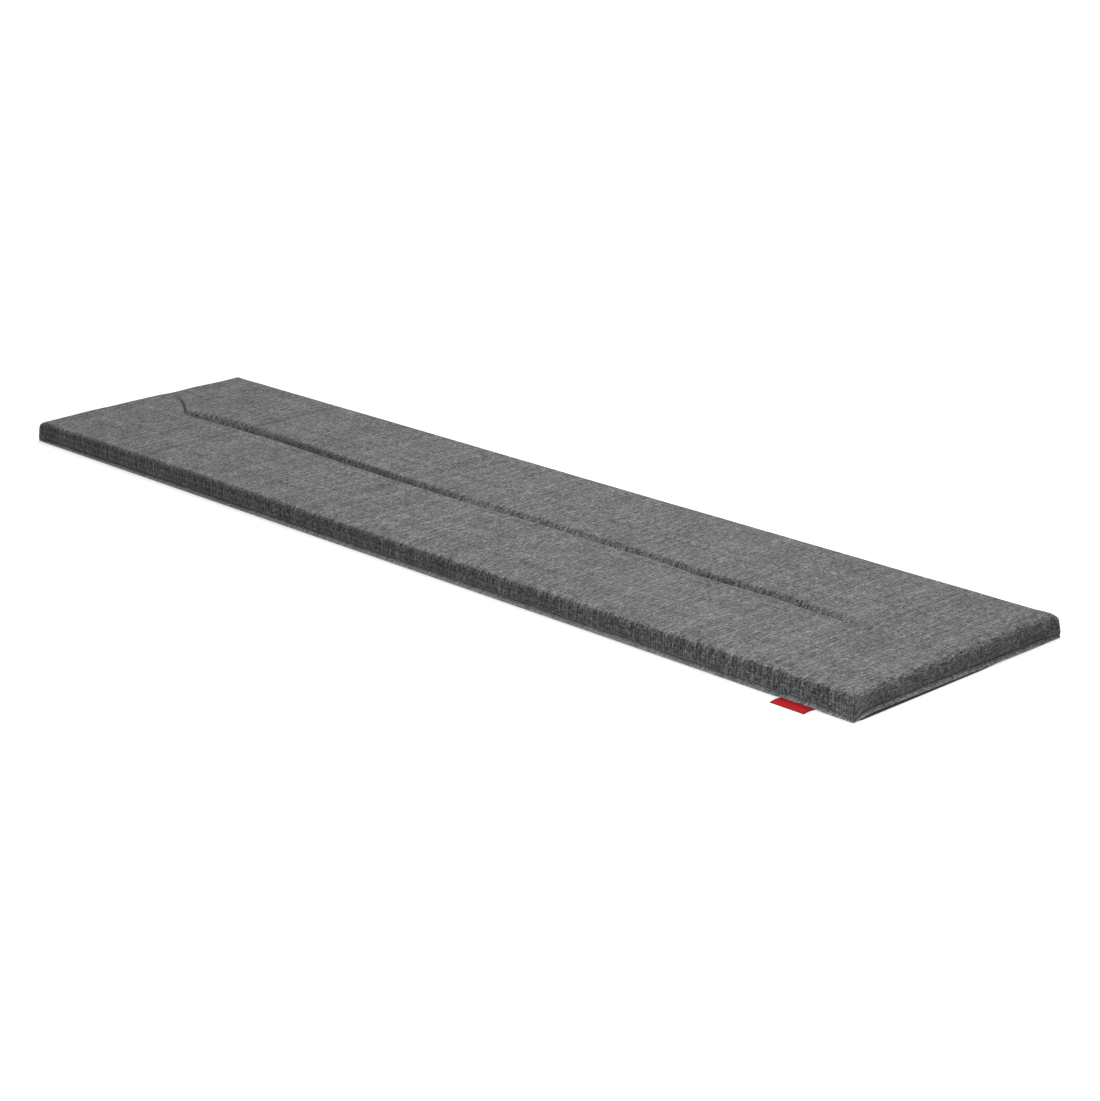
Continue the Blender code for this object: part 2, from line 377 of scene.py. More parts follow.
# %% [markdown]
# ## Small unevenness
# Real sewing is never quite straight. The stitched groove rises and dips by a few tenths of a millimetre as
# the stitches pull, and the walls are a little fuller in some places. Noise textures could displace the
# mesh, but a line of smooth random numbers is easier to steer. Its seed is fixed, so every run gives the
# same pad.


# %% Smooth random numbers along a line
RANDOM_VALUES = 400


def uneven(place, swing, seed):
    """Smooth random values around 0 for places along a line, with about one swing in each stretch."""
    values = np.random.default_rng(seed).normal(0.0, 1.0, RANDOM_VALUES)
    spot = (np.asarray(place) + 1.0) / swing
    index = np.floor(spot).astype(int)
    ease = smooth_step(0.0, 1.0, spot - index)
    return values[index] * (1.0 - ease) + values[index + 1] * ease


LONG_SIDE = 0.02
LIP_TOP = 0.0045
WALL_FOOT = (0.006, 0.010)
END_BELT = 0.008
THINNER_AT = (-0.66, -0.30, 0.05, 0.45)
THINNER = (0.68, 0.32, 0.18, 0.46)
RIGHT_THINNER, CORNER_THINNER, CORNER_REACH = 0.40, 0.46, 0.045
GROOVE_WAVE = 0.00024
GROOVE_SWING = 0.016
GROOVE_FOOT, GROOVE_HEAD = (0.0025, 0.0045), (0.006, 0.012)
WALL_WAVE = 0.00010
WALL_SWING = 0.038
GROOVE_SEEDS, WALL_SEED = (11, 23), 41


def side_wave(x, y, swing, seed):
    """Unevenness along the pad's sides. Opposite sides have lines of their own."""
    place = np.where(abs(y) > HALF_WIDTH - LONG_SIDE, x, y)
    facing = x / HALF_LENGTH - y / HALF_WIDTH > 0
    wave = np.where(facing, uneven(place, swing, seed), uneven(place, swing, seed + 1))
    return wave * (1.0 - by_corner(x, y))


def groove_wave(x, y):
    """How far the groove and the lip's crest rise here."""
    swings = (GROOVE_SWING, 3 * GROOVE_SWING)
    return GROOVE_WAVE * sum(side_wave(x, y, swing, seed) for swing, seed in zip(swings, GROOVE_SEEDS))


# %% [markdown]
# ## The furrow
# A sewn-down crease runs along the middle of the top. On the left it is deep, its far wall steep and dark,
# and it ends in a narrow hooked crease. To the right it gets shallower, wanders a little, and fades out.
# The table gives its stitch line, its depth there, and how far its near and far shoulders reach. These rows
# could be sculpted by hand, but as a table they can be measured against the photograph one by one.

# %% The furrow's rows
FurrowRow = namedtuple("FurrowRow", "x y depth near far")
FURROW_ROWS = [FurrowRow(*row) for row in (
    (-0.660, 0.0285, 0.0000, 0.0034, 0.0040),
    (-0.652, 0.0280, 0.0044, 0.0028, 0.0038),
    (-0.642, 0.0250, 0.0078, 0.0028, 0.0038),
    (-0.628, 0.0175, 0.0088, 0.0028, 0.0040),
    (-0.614, 0.0085, 0.0088, 0.0028, 0.0044),
    (-0.600, 0.000, 0.0082, 0.0034, 0.0056),
    (-0.585, -0.007, 0.0082, 0.0070, 0.0095),
    (-0.568, -0.003, 0.0102, 0.0130, 0.0150),
    (-0.545, 0.001, 0.0130, 0.0160, 0.0165),
    (-0.500, 0.006, 0.0144, 0.0185, 0.0120),
    (-0.400, 0.0075, 0.0136, 0.0185, 0.0094),
    (-0.300, 0.004, 0.0140, 0.0172, 0.0078),
    (-0.200, 0.001, 0.0156, 0.0162, 0.0070),
    (-0.120, -0.001, 0.0112, 0.0155, 0.0076),
    (0.000, -0.002, 0.0074, 0.0148, 0.0108),
    (0.100, 0.000, 0.0070, 0.0142, 0.0095),
    (0.200, -0.001, 0.0070, 0.0142, 0.0090),
    (0.290, 0.000, 0.0064, 0.0138, 0.0085),
    (0.350, -0.003, 0.0122, 0.0132, 0.0082),
    (0.400, -0.002, 0.0096, 0.0138, 0.0085),
    (0.460, -0.001, 0.0076, 0.0132, 0.0095),
    (0.510, -0.005, 0.0084, 0.0125, 0.0080),
    (0.545, -0.007, 0.0056, 0.0120, 0.0090),
    (0.585, -0.011, 0.0030, 0.0110, 0.0065),
    (0.612, -0.012, 0.0000, 0.0100, 0.0080),
)]
NEAR_STEEP = 0.35
FAR_STEEP = 0.50
FURROW_PULL = 0.060


def furrow_column(name, x):
    """One column of the table, read between its rows."""
    return np.interp(x, [row.x for row in FURROW_ROWS], [getattr(row, name) for row in FURROW_ROWS])


def furrow_share(away, near, far):
    """The share of the depth at this distance from the line: a straight wall, then a round shoulder."""
    steep = np.where(away > 0, FAR_STEEP, NEAR_STEEP)
    out = np.clip(abs(away) / np.where(away > 0, far, near), 0.0, 1.0)
    fall = 2.0 / (1.0 + steep)
    return fall * ((1.0 - np.maximum(out, steep)) ** 2 / (2.0 * (1.0 - steep)) + np.maximum(steep - out, 0.0))


print("deepest:", 1000 * max(row.depth for row in FURROW_ROWS), "mm")

# %% [markdown]
# ## The cage
# Now the grid and the rings can be laid out. The rim of the grid is walked once round, and each ring
# repeats it further down. Every face corner also gets its place on the cut cloth, in metres: this is the
# map that the weave will follow. On the top it is simply the plan. On a side it goes on over the edge with
# the length of the cloth itself, so a yarn that crosses the edge runs straight on down the wall, as it does
# in the photo.


# %% Lay out the top and the rings
def top_places(cuts):
    """The top panel's points. Cuts near the middle follow the furrow's line."""
    x, y = np.meshgrid(cuts.along, cuts.across, indexing="ij")
    x, y = rounded(x, y, WALL_INSET + EDGE_RADIUS * edge_share(x), TOP_RADIUS)
    line = furrow_column("y", x) * np.clip(1.0 - abs(y) / FURROW_PULL, 0.0, 1.0)
    half_x, half_y = HALF_LENGTH - WALL_INSET - EDGE_RADIUS, HALF_WIDTH - WALL_INSET - EDGE_RADIUS
    crown = CROWN * (1.0 - (y / half_y) ** 2) * (1.0 - (x / half_x) ** CROWN_POWER)
    return np.stack((x, y + line, EDGE_HEIGHT + np.maximum(crown, 0.0)), -1)


def rim_walk(cuts):
    """The grid's rim, once round from its front left corner, as (i, j, side) for each step."""
    last_i, last_j = len(cuts.along) - 1, len(cuts.across) - 1
    steps = [(i, 0, "front") for i in range(last_i)]
    steps += [(last_i, j, "right") for j in range(last_j)]
    steps += [(i, last_j, "back") for i in range(last_i, 0, -1)]
    return steps + [(0, j, "left") for j in range(last_j, 0, -1)]


def rim_places(cuts):
    """The places on the plain rectangle that the rim walk passes."""
    return np.array([(cuts.along[i], cuts.across[j]) for i, j, _ in rim_walk(cuts)])


def lip_thinning(x, y):
    """The share of its height that the lip has lost here: it is thinnest at both ends and by the corners."""
    along = np.where(x > HALF_LENGTH - END_BELT, RIGHT_THINNER, np.interp(x, THINNER_AT, THINNER))
    return np.maximum(along, CORNER_THINNER * by_corner(x, y, CORNER_REACH))


def ring_places(row, x, y):
    """One ring of the side, from the rim's places on the plain rectangle."""
    wave = side_wave(x, y, WALL_SWING, WALL_SEED) * smooth_step(*WALL_FOOT, row.height)
    tighter = edge_share(x) if row.height > WALL_TOP else 1.0
    height = EDGE_HEIGHT - (EDGE_HEIGHT - row.height) * tighter
    plain_inset = WALL_INSET + (row.inset - WALL_INSET) * tighter
    corner = np.where(x > 0, row.corner, np.maximum(row.corner, LEFT_CORNER)) + plain_inset - row.inset
    inset = plain_inset + (corner - plain_inset) * by_corner(x, y) + WALL_WAVE * wave
    ring_x, ring_y = rounded(x, y, inset, row.radius)
    near_groove = smooth_step(*GROOVE_FOOT, row.height) * (1.0 - smooth_step(*GROOVE_HEAD, row.height))
    by_seam = row.radius == SEAM_RADIUS and row.inset < SEAM_BELT
    lift = right_end_lift(x, y, SEAM_LIFTS if by_seam else GROOVE_LIFTS)
    z = height + row.rise * lift + row.over * over_ribbon(x, y) + near_groove * groove_wave(x, y)
    z = z - lip_thinning(x, y) * min(row.height, LIP_TOP) * (1.0 - smooth_step(*WALL_FOOT, row.height))
    return np.stack((ring_x, ring_y, z), -1)


def lay_out(cuts):
    """The top's points, and below its rim the points of every ring."""
    x, y = rim_places(cuts).T
    return top_places(cuts), np.array([ring_places(row, x, y) for row in side_rows[1:]])


# %% The faces, and their places on the cut cloth
MAP = "cut_cloth"
GOES = {"front": (0, -1), "right": (1, 0), "back": (0, 1), "left": (-1, 0)}


def cloth_lengths():
    """How far each ring lies from the rim, measured along the cloth."""
    section = np.array([(row.inset, row.height) for row in side_rows])
    return np.concatenate(([0.0], np.cumsum(np.hypot(*np.diff(section, axis=0).T))))


def side_map(rim_place, ring_place, goes, length):
    """A ring point's place on the cut cloth: level with the point itself, and this far out from the rim."""
    if goes[0]:
        return rim_place[0] + goes[0] * length, ring_place[1]
    return ring_place[0], rim_place[1] + goes[1] * length


def cage_object(name, cuts, top, rings):
    """The top grid and the rings below it, as one open mesh with its place on the cut cloth."""
    count_j = len(cuts.across)
    walk = rim_walk(cuts)
    points = np.concatenate([top.reshape(-1, 3), rings.reshape(-1, 3)])
    faces, maps = [], []
    for i in range(len(cuts.along) - 1):
        for j in range(count_j - 1):
            corners = [(i, j), (i + 1, j), (i + 1, j + 1), (i, j + 1)]
            faces.append([a * count_j + b for a, b in corners])
            maps.extend(top[a, b, :2] for a, b in corners)
    below = [[i * count_j + j for i, j, _ in walk]]
    below += [range(len(top) * count_j + k * len(walk), len(points))[:len(walk)] for k in range(len(rings))]
    lengths = cloth_lengths()
    for step, (_, _, side) in enumerate(walk):
        following = (step + 1) % len(walk)
        for ring in range(len(rings)):
            corners = [(ring, step), (ring + 1, step), (ring + 1, following), (ring, following)]
            faces.append([below[r][s] for r, s in corners])
            maps.extend(side_map(points[below[0][s]], points[below[r][s]], GOES[side], lengths[r])
                        for r, s in corners)
    mesh = bpy.data.meshes.new(name)
    mesh.from_pydata(points.tolist(), [], faces)
    mesh.uv_layers.new(name=MAP)
    mesh.uv_layers[MAP].uv.foreach_set("vector", np.array(maps, np.float32).ravel())
    print(name + ":", len(points), "points and", len(faces), "faces")
    return linked(name, mesh)


# %% [markdown]
# ## Filling the cover
# A real cover is cut a touch smaller than its foam, and the foam pushes it out wherever no seam holds it. A
# cloth simulation with a little air pressure and no gravity does the same. The seam, the groove and the
# furrow's line are pinned, as the stitching holds them. How far the cloth may move is capped, because this
# foam is thin and flat and the pad must keep its measured size. The layout has that size already, so its
# cloth gets a little slack, or it couldn't bulge. The even layout is the one that is filled: in a layout
# with fine cuts, the crowded points would be heavier than the rest and lag behind.

# %% Fill the cover
PRESSURE = 4.0
FRAMES = 20
MOST_SWELL = 0.0012
CLOTH_QUALITY = 5
SLACK = 0.006
PINNED_BELOW, PIN_EASE = 0.0095, 0.003
PINNED_DEPTH = (0.006, 0.010)
PINNED_AWAY = (0.004, 0.012)
HOOK_ENDS = -0.60


def points_of(mesh):
    """A mesh's points as an array with a row for each."""
    places = np.empty(len(mesh.vertices) * 3, np.float32)
    mesh.vertices.foreach_get("co", places)
    return places.reshape(-1, 3).astype(float)


def pin_weights(places):
    """1 where stitching holds the cloth, easing to 0 away from it."""
    by_seam = 1.0 - smooth_step(PINNED_BELOW - PIN_EASE, PINNED_BELOW, places[:, 2])
    away = abs(places[:, 1] - furrow_column("y", places[:, 0]))
    held = smooth_step(*PINNED_DEPTH, furrow_column("depth", places[:, 0])) * (places[:, 0] > HOOK_ENDS)
    by_line = held * (1.0 - smooth_step(*PINNED_AWAY, away)) * (places[:, 2] > EDGE_HEIGHT - TOP_BELOW)
    return np.maximum(by_seam, by_line)


def fill_cover(cover):
    """Runs the simulation and gives back how far each point moved."""
    rest = points_of(cover.data)
    pins = cover.vertex_groups.new(name="pins")
    for index, weight in enumerate(pin_weights(rest)):
        pins.add([index], float(weight), "REPLACE")
    cloth = cover.modifiers.new("cloth", "CLOTH")
    cloth.settings.quality = CLOTH_QUALITY
    cloth.settings.vertex_group_mass = "pins"
    cloth.settings.use_pressure = True
    cloth.settings.uniform_pressure_force = PRESSURE
    cloth.settings.shrink_min = -SLACK
    cloth.settings.effector_weights.gravity = 0.0
    cloth.collision_settings.use_collision = False
    cloth.point_cache.frame_start = 1
    cloth.point_cache.frame_end = FRAMES
    for step in range(1, FRAMES + 1):
        bpy.context.scene.frame_set(step)
    filled = cover.evaluated_get(bpy.context.evaluated_depsgraph_get())
    moved = points_of(filled.data) - rest
    bpy.context.scene.frame_set(1)
    return moved


def mm(value, digits=1):
    """Metres as a rounded number of millimetres."""
    return round(1000 * float(value), digits)


def capped(moved, most):
    """Keeps small moves nearly as they are, and lets no move pass the cap."""
    size = np.linalg.norm(moved, axis=1, keepdims=True)
    return moved * most * np.tanh(size / most) / np.maximum(size, 1e-9)


even_top, even_rings = lay_out(even_cuts)
swell = np.zeros((even_top.size // 3 + even_rings.size // 3, 3))
cover = cage_object("filling", even_cuts, even_top, even_rings)
moved = fill_cover(cover)
bpy.data.objects.remove(cover)
swell = capped(moved, MOST_SWELL)
print("the pressure moved the cloth by", mm(np.linalg.norm(moved, axis=1).max(), 2), "mm")


# %% Carry the swelling over to the fine layout
def spread_over_grid(values, old, new):
    """Reads a grid of values at the cuts of another grid."""
    along = np.apply_along_axis(lambda line: np.interp(new.along, old.along, line), 0, values)
    return np.apply_along_axis(lambda line: np.interp(new.across, old.across, line), 1, along)


def perimeter(cuts):
    """How far round the plain rectangle each step of the rim walk lies."""
    steps = np.abs(np.diff(rim_places(cuts), axis=0)).sum(1)
    return np.concatenate(([0.0], np.cumsum(steps)))


def spread_over_rings(values, old, new):
    """Reads rings of values at the rim steps of another layout."""
    wanted, known, whole = perimeter(new), perimeter(old), 4 * (HALF_LENGTH + HALF_WIDTH)
    return np.apply_along_axis(lambda line: np.interp(wanted, known, line, period=whole), 1, values)


fine_top, fine_rings = lay_out(fine_cuts)
cushion = cage_object("cushion", fine_cuts, fine_top, fine_rings)
on_grid = spread_over_grid(swell[:even_top.size // 3].reshape(even_top.shape), even_cuts, fine_cuts)
on_rings = spread_over_rings(swell[even_top.size // 3:].reshape(even_rings.shape), even_cuts, fine_cuts)
swell = np.concatenate((on_grid.reshape(-1, 3), on_rings.reshape(-1, 3)))
print("swell:", mm(np.linalg.norm(swell, axis=1).max(), 2), "mm at most")

# %% [markdown]
# ## From cage to cloth
# One level of subdivision rounds the cage. The furrow, the darts and the fine creases come after it,
# because they are narrower than the cage's own faces. Each point keeps its place from before the swelling,
# in an attribute that subdivision carries along, so it is known how far it lies from the furrow's line. A
# second attribute marks the lip and how much painted light it gets: the lip's colour is made lighter there.

# %% Subdivide, with every point's first place kept
FIRST_PLACE = "first_place"
# Painted light: the lip attribute says how much lighter the lip's colour is painted, most at the left end and
# least at the right end.
LIP_PAINTED_LIGHT = "lip"
LIP_PAINT_AT, LIP_PAINT_SHARE = (-0.60, -0.30, 0.40, 0.55), (1.25, 1.0, 1.0, 0.55)
RIGHT_LIP_PAINT = 0.28


def subdivided(piece, levels):
    """Replaces the object's mesh by its subdivided one."""
    smooth = piece.modifiers.new("smooth", "SUBSURF")
    smooth.levels = levels
    smooth.boundary_smooth = "ALL"
    finished = bpy.data.meshes.new_from_object(piece.evaluated_get(bpy.context.evaluated_depsgraph_get()))
    piece.modifiers.clear()
    piece.data = finished


first = points_of(cushion.data)
# Painted light on the lip: every ring of the lip gets the mark, scaled along the pad.
ring_lip_paint = [1.0 if k > len(side_rows) - GROOVE_FROM_END else 0.0 for k in range(1, len(side_rows))]
lip = np.concatenate((np.zeros(fine_top.size // 3), np.repeat(ring_lip_paint, len(rim_walk(fine_cuts)))))
lip_paint_along = np.interp(first[:, 0], LIP_PAINT_AT, LIP_PAINT_SHARE)
lip *= np.where(first[:, 0] > HALF_LENGTH - END_BELT, RIGHT_LIP_PAINT, lip_paint_along)
cushion.data.attributes.new(LIP_PAINTED_LIGHT, "FLOAT", "POINT").data.foreach_set("value", lip.astype(np.float32))
kept = cushion.data.attributes.new(FIRST_PLACE, "FLOAT_VECTOR", "POINT")
kept.data.foreach_set("vector", first.astype(np.float32).ravel())
cushion.data.vertices.foreach_set("co", (first + swell).astype(np.float32).ravel())
subdivided(cushion, 1)
first = np.empty(len(cushion.data.vertices) * 3, np.float32)
cushion.data.attributes[FIRST_PLACE].data.foreach_get("vector", first)
first = first.reshape(-1, 3).astype(float)
cushion.data.attributes.remove(cushion.data.attributes[FIRST_PLACE])
places = points_of(cushion.data)
print("cloth:", len(places), "points")

# %% [markdown]
# ## Pressing in the furrow
# The furrow is pressed into the smooth top by its table. Cloth that goes down into a crease and up again is
# longer than the straight way across. A map that ignored it would stretch the yarns on the furrow's walls,
# so the map's places are shifted by the cloth that the furrow takes up, and the shift fades out beside it.

# %% Press in the furrow
TOP_EASE = 0.004
TAKEN_PARTS = 16
SHIFT_FADES = (0.020, 0.120)
on_top = smooth_step(EDGE_HEIGHT - TOP_EASE, EDGE_HEIGHT - TOP_BELOW, first[:, 2])
away = first[:, 1] - furrow_column("y", first[:, 0])
depth = furrow_column("depth", first[:, 0]) * on_top
near, far = furrow_column("near", first[:, 0]), furrow_column("far", first[:, 0])
places[:, 2] -= depth * furrow_share(away, near, far)


def cloth_taken(away, near, far, depth):
    """How much longer the cloth is than its plan, from the furrow's line out to this distance."""
    reach = np.where(away > 0, far, near)
    taken = np.zeros(len(away))
    before = depth * furrow_share(0.0 * away, near, far)
    for part in range(1, TAKEN_PARTS + 1):
        here = np.copysign(np.minimum(abs(away), reach) * part / TAKEN_PARTS, away)
        after = depth * furrow_share(here, near, far)
        run = abs(here) / part
        taken += np.hypot(run, after - before) - run
        before = after
    return np.copysign(taken, away)


shift = cloth_taken(away, near, far, depth) * (1.0 - smooth_step(*SHIFT_FADES, abs(away)))
corner_points = np.empty(len(cushion.data.loops), np.int32)
cushion.data.loops.foreach_get("vertex_index", corner_points)
cloth_places = np.empty(2 * len(corner_points), np.float32)
cushion.data.uv_layers[MAP].uv.foreach_get("vector", cloth_places)
cloth_places[1::2] += shift[corner_points]
cushion.data.uv_layers[MAP].uv.foreach_set("vector", cloth_places)
print("the furrow takes up to", mm(shift.max() - shift.min()), "mm of cloth")
print("furrow bottom at", mm(places[on_top > 0.99, 2].min()), "mm above the surface")

# %% [markdown]
# ## The uneven top and front edge
# Foam is never cut quite flat, and the cloth rides on it, so the top gets soft dents of a tenth of a
# millimetre. The front edge also rises and sinks along the pad, by up to a millimetre, as its outline in
# the photograph shows. Sculpting would do it too, but numbers along the edge can be measured and changed
# one by one.


# %% Let the top and the front edge lie a little uneven
FIELD_SIDE = 200


def uneven_field(x, y, swing, seed):
    """Smooth random values around 0 over the plan."""
    values = np.random.default_rng(seed).normal(0.0, 1.0, (FIELD_SIDE, FIELD_SIDE))
    spots = [(place + 1.0) / swing for place in (x, y)]
    i, j = [np.floor(spot).astype(int) for spot in spots]
    ease_x, ease_y = [smooth_step(0.0, 1.0, spot % 1.0) for spot in spots]
    near_row = values[i, j] * (1.0 - ease_x) + values[i + 1, j] * ease_x
    far_row = values[i, j + 1] * (1.0 - ease_x) + values[i + 1, j + 1] * ease_x
    return near_row * (1.0 - ease_y) + far_row * ease_y


UNEVEN_TOP, TOP_SWING, TOP_SEED = 0.00012, 0.045, 5
RIM_FADES, FRONT_FADES, FRONT_HEIGHTS = (0.010, 0.040), (0.010, 0.045), (0.010, 0.024)
FRONT_AT = (-0.69, -0.64, -0.56, -0.46, -0.305, -0.15, 0.45, 0.55, 0.65)
FRONT_RISE = (-0.0008, -0.0007, 0.0, 0.0, 0.0009, 0.0, 0.0, 0.0005, 0.0)
from_rim = np.minimum(HALF_LENGTH - abs(first[:, 0]), HALF_WIDTH - abs(first[:, 1]))
inside = smooth_step(*RIM_FADES, from_rim)
places[:, 2] += UNEVEN_TOP * inside * uneven_field(first[:, 0], first[:, 1], TOP_SWING, TOP_SEED)
by_front = 1.0 - smooth_step(*FRONT_FADES, first[:, 1] + HALF_WIDTH)
high_up = smooth_step(*FRONT_HEIGHTS, first[:, 2])
places[:, 2] += by_front * high_up * np.interp(first[:, 0], FRONT_AT, FRONT_RISE)
print("top lies between", mm(places[on_top > 0.99, 2].min()), "and", mm(places[:, 2].max()), "mm")

# %% [markdown]
# ## Corner darts
# At each corner the spare cloth of the two walls is folded in and sewn, from the groove up to where the
# round edge begins. The stitches pull a narrow upright crease, and the cloth beside it puffs out. It is
# made by moving points: in at the corner's diagonal, and out a little on both sides of it.

# %% Darts
DART_DEPTH = 0.0022
DART_WIDTH = 0.0007
PUFF = 0.0005
PUFF_AWAY, PUFF_WIDTH = 0.0019, 0.0011
LIP_CREASE = 0.0004
DART_FOOT, DART_HEAD = (0.0050, 0.0066), (0.0130, 0.0190)
CREASE_FOOT, CREASE_HEAD = (0.0006, 0.0016), (0.0050, 0.0060)
DART_REACH = (0.010, 0.016)


def dart_move(first, end, side):
    """How far the dart of one corner moves each point outwards along the corner's diagonal."""
    from_x, from_y = first[:, 0] * end - HALF_LENGTH, first[:, 1] * side - HALF_WIDTH
    off_diagonal = (from_x - from_y) / math.sqrt(2.0)
    height = first[:, 2]
    on_wall = smooth_step(*DART_FOOT, height) * (1.0 - smooth_step(*DART_HEAD, height))
    on_lip = smooth_step(*CREASE_FOOT, height) * (1.0 - smooth_step(*CREASE_HEAD, height))
    crease = np.exp(-(off_diagonal / DART_WIDTH) ** 2)
    puff = np.exp(-((abs(off_diagonal) - PUFF_AWAY) / PUFF_WIDTH) ** 2)
    near_corner = 1.0 - smooth_step(*DART_REACH, np.maximum(-from_x, -from_y))
    return near_corner * (on_wall * (PUFF * puff - DART_DEPTH * crease) - LIP_CREASE * on_lip * crease)


for end in (-1, 1):
    for side in (-1, 1):
        moved = dart_move(first, end, side) / math.sqrt(2.0)
        places[:, 0] += end * moved
        places[:, 1] += side * moved
print("darts pressed in at 4 corners")

# %% Write the points back and close the underside
cushion.data.vertices.foreach_set("co", places.astype(np.float32).ravel())
bm = bmesh.new()
bm.from_mesh(cushion.data)
open_edges = [edge for edge in bm.edges if edge.is_boundary]
bmesh.ops.contextual_create(bm, geom=open_edges)
bm.to_mesh(cushion.data)
bm.free()
cushion.data.shade_smooth()
print("cushion closed:", len(open_edges), "edges round its underside")

# %% [markdown]
# ## The base cloth
# The pad's underside is one flat panel of plain dark cloth, sewn into the seam. It hides behind the lip
# almost everywhere. Only at the right end, where the seam has rolled up, does its rim curl up to the lip
# and show as a dark band. It is a thin closed form: two flat faces joined by a rim of rings that follow the
# seam.

# %% Base cloth
BaseRow = namedtuple("BaseRow", "inset height lifted_inset lifted_height")
BASE_ROWS = (
    BaseRow(0.0080, 0.0000, 0.0080, 0.0000),
    BaseRow(0.0046, 0.0000, 0.0004, 0.0000),
    BaseRow(0.0037, 0.0002, -0.0011, 0.0001),
    BaseRow(0.0034, 0.0005, -0.0012, 0.0010),
    BaseRow(0.0037, 0.0009, -0.0006, 0.0026),
    BaseRow(0.0046, 0.0010, 0.0024, 0.0025),
    BaseRow(0.0080, 0.0010, 0.0080, 0.0011),
)
OUT_BY = 0.45


def base_ring(row, x, y):
    """One ring of the base cloth's rim. It has come right out to the lip before the lip is fully up."""
    lifted = right_end_lift(x, y, SEAM_LIFTS) / LIFT
    out = np.minimum(1.0, lifted / OUT_BY)
    inset = row.inset + (row.lifted_inset - row.inset) * out
    ring_x, ring_y = rounded(x, y, inset, SEAM_RADIUS)
    return np.stack((ring_x, ring_y, row.height * (1.0 - out) + row.lifted_height * lifted), -1)


def smooth_piece(name, bm):
    """A smoothly shaded object from a finished bmesh."""
    mesh = mesh_from(name, bm)
    mesh.shade_smooth()
    return linked(name, mesh)


def ring_object(name, rings):
    """A closed form from rings of equal count, with a flat face inside the first and the last."""
    count = len(rings[0])
    bm = bmesh.new()
    loops = [[bm.verts.new(place) for place in ring] for ring in rings]
    for lower, upper in zip(loops, loops[1:]):
        for k in range(count):
            bm.faces.new((lower[k], lower[(k + 1) % count], upper[(k + 1) % count], upper[k]))
    bm.faces.new(loops[0][::-1])
    bm.faces.new(loops[-1])
    return smooth_piece(name, bm)


base_cloth = ring_object("base_cloth", [base_ring(row, *rim_places(even_cuts).T) for row in BASE_ROWS])
print("base cloth:", len(base_cloth.data.polygons), "faces")

# %% [markdown]
# ## The ribbon tab
# A length of woven ribbon is folded double, and its two raw ends are caught in the seam of the front side.
# It lies on the surface with a soft fold at its free end. It is one closed strip: a centre line that runs
# out of the seam, round the fold and back in, given a thickness, with its two selvedges a little thicker. A
# bright red so close to a grey wall would tint it, and the photograph shows no red there, so the tab's
# diffuse visibility is off.

# %% Ribbon
RIBBON_THICKNESS = 0.00042
TUCKED_IN = 0.0030
SEAM_Y = -HALF_WIDTH
TAB_TIP = tab_low.y
FOLD_RADIUS = 0.00034
LAYER_STEPS = 14
FOLD_STEPS = 6
OFF_SURFACE = 0.00004
ARCH = 0.0007
COLUMNS = (-0.5, -0.493, -0.47, -0.45, -0.25, 0.0, 0.25, 0.45, 0.47, 0.493, 0.5)
COLUMN_THICKNESS = (0.45, 1.05, 1.05, 0.85, 0.85, 0.85, 0.85, 0.85, 1.05, 1.05, 0.45)


def ribbon_line():
    """The ribbon's centre line as (y, z): out along the lower layer, round the fold and back above it."""
    fold_y = TAB_TIP + FOLD_RADIUS + RIBBON_THICKNESS / 2
    out = np.linspace(SEAM_Y + TUCKED_IN, fold_y, LAYER_STEPS)
    lower = [(y, RIBBON_THICKNESS / 2 + OFF_SURFACE) for y in out]
    middle_z = lower[-1][1] + FOLD_RADIUS
    angles = np.linspace(-math.pi / 2, math.pi / 2, FOLD_STEPS + 1)[1:-1]
    fold = [(fold_y - FOLD_RADIUS * math.cos(a), middle_z + FOLD_RADIUS * math.sin(a)) for a in angles]
    upper = [(y, middle_z + FOLD_RADIUS) for y in out[::-1]]
    return lower + fold + upper


def bow(y):
    """The ribbon is not quite flat: it arches a little between the seam and its fold."""
    share = np.clip((SEAM_Y - y) / (SEAM_Y - TAB_TIP), 0.0, 1.0)
    return ARCH * math.sin(math.pi * share) ** 2


def ribbon_object():
    """The strip, from its centre line: an outer and an inner skin across a few columns."""
    line = np.array(ribbon_line())
    tangent = np.gradient(line, axis=0)
    tangent /= np.linalg.norm(tangent, axis=1, keepdims=True)
    normal = np.stack((tangent[:, 1], -tangent[:, 0]), -1)
    columns, thick = np.array(COLUMNS), RIBBON_THICKNESS * np.array(COLUMN_THICKNESS)
    bm = bmesh.new()
    skins = []
    for away in (-0.5, 0.5):
        rows = []
        for (y, z), (ny, nz) in zip(line, normal):
            rows.append([bm.verts.new((TAB_X + c * TAB_WIDTH, y + away * t * ny, z + away * t * nz + bow(y)))
                         for c, t in zip(columns, thick)])
        skins.append(rows)
    last_row, last_column = len(line) - 1, len(columns) - 1
    for r in range(last_row):
        for c in range(last_column):
            for rows, turned in zip(skins, (1, -1)):
                quad = (rows[r][c], rows[r][c + 1], rows[r + 1][c + 1], rows[r + 1][c])
                bm.faces.new(quad[::turned])
    inner, outer = skins
    for r in range(last_row):
        bm.faces.new((inner[r][0], inner[r + 1][0], outer[r + 1][0], outer[r][0]))
        bm.faces.new((outer[r][-1], outer[r + 1][-1], inner[r + 1][-1], inner[r][-1]))
    for c in range(last_column):
        bm.faces.new((inner[0][c + 1], inner[0][c], outer[0][c], outer[0][c + 1]))
        bm.faces.new((inner[-1][c], inner[-1][c + 1], outer[-1][c + 1], outer[-1][c]))
    bmesh.ops.recalc_face_normals(bm, faces=bm.faces)
    return smooth_piece("ribbon_tab", bm)


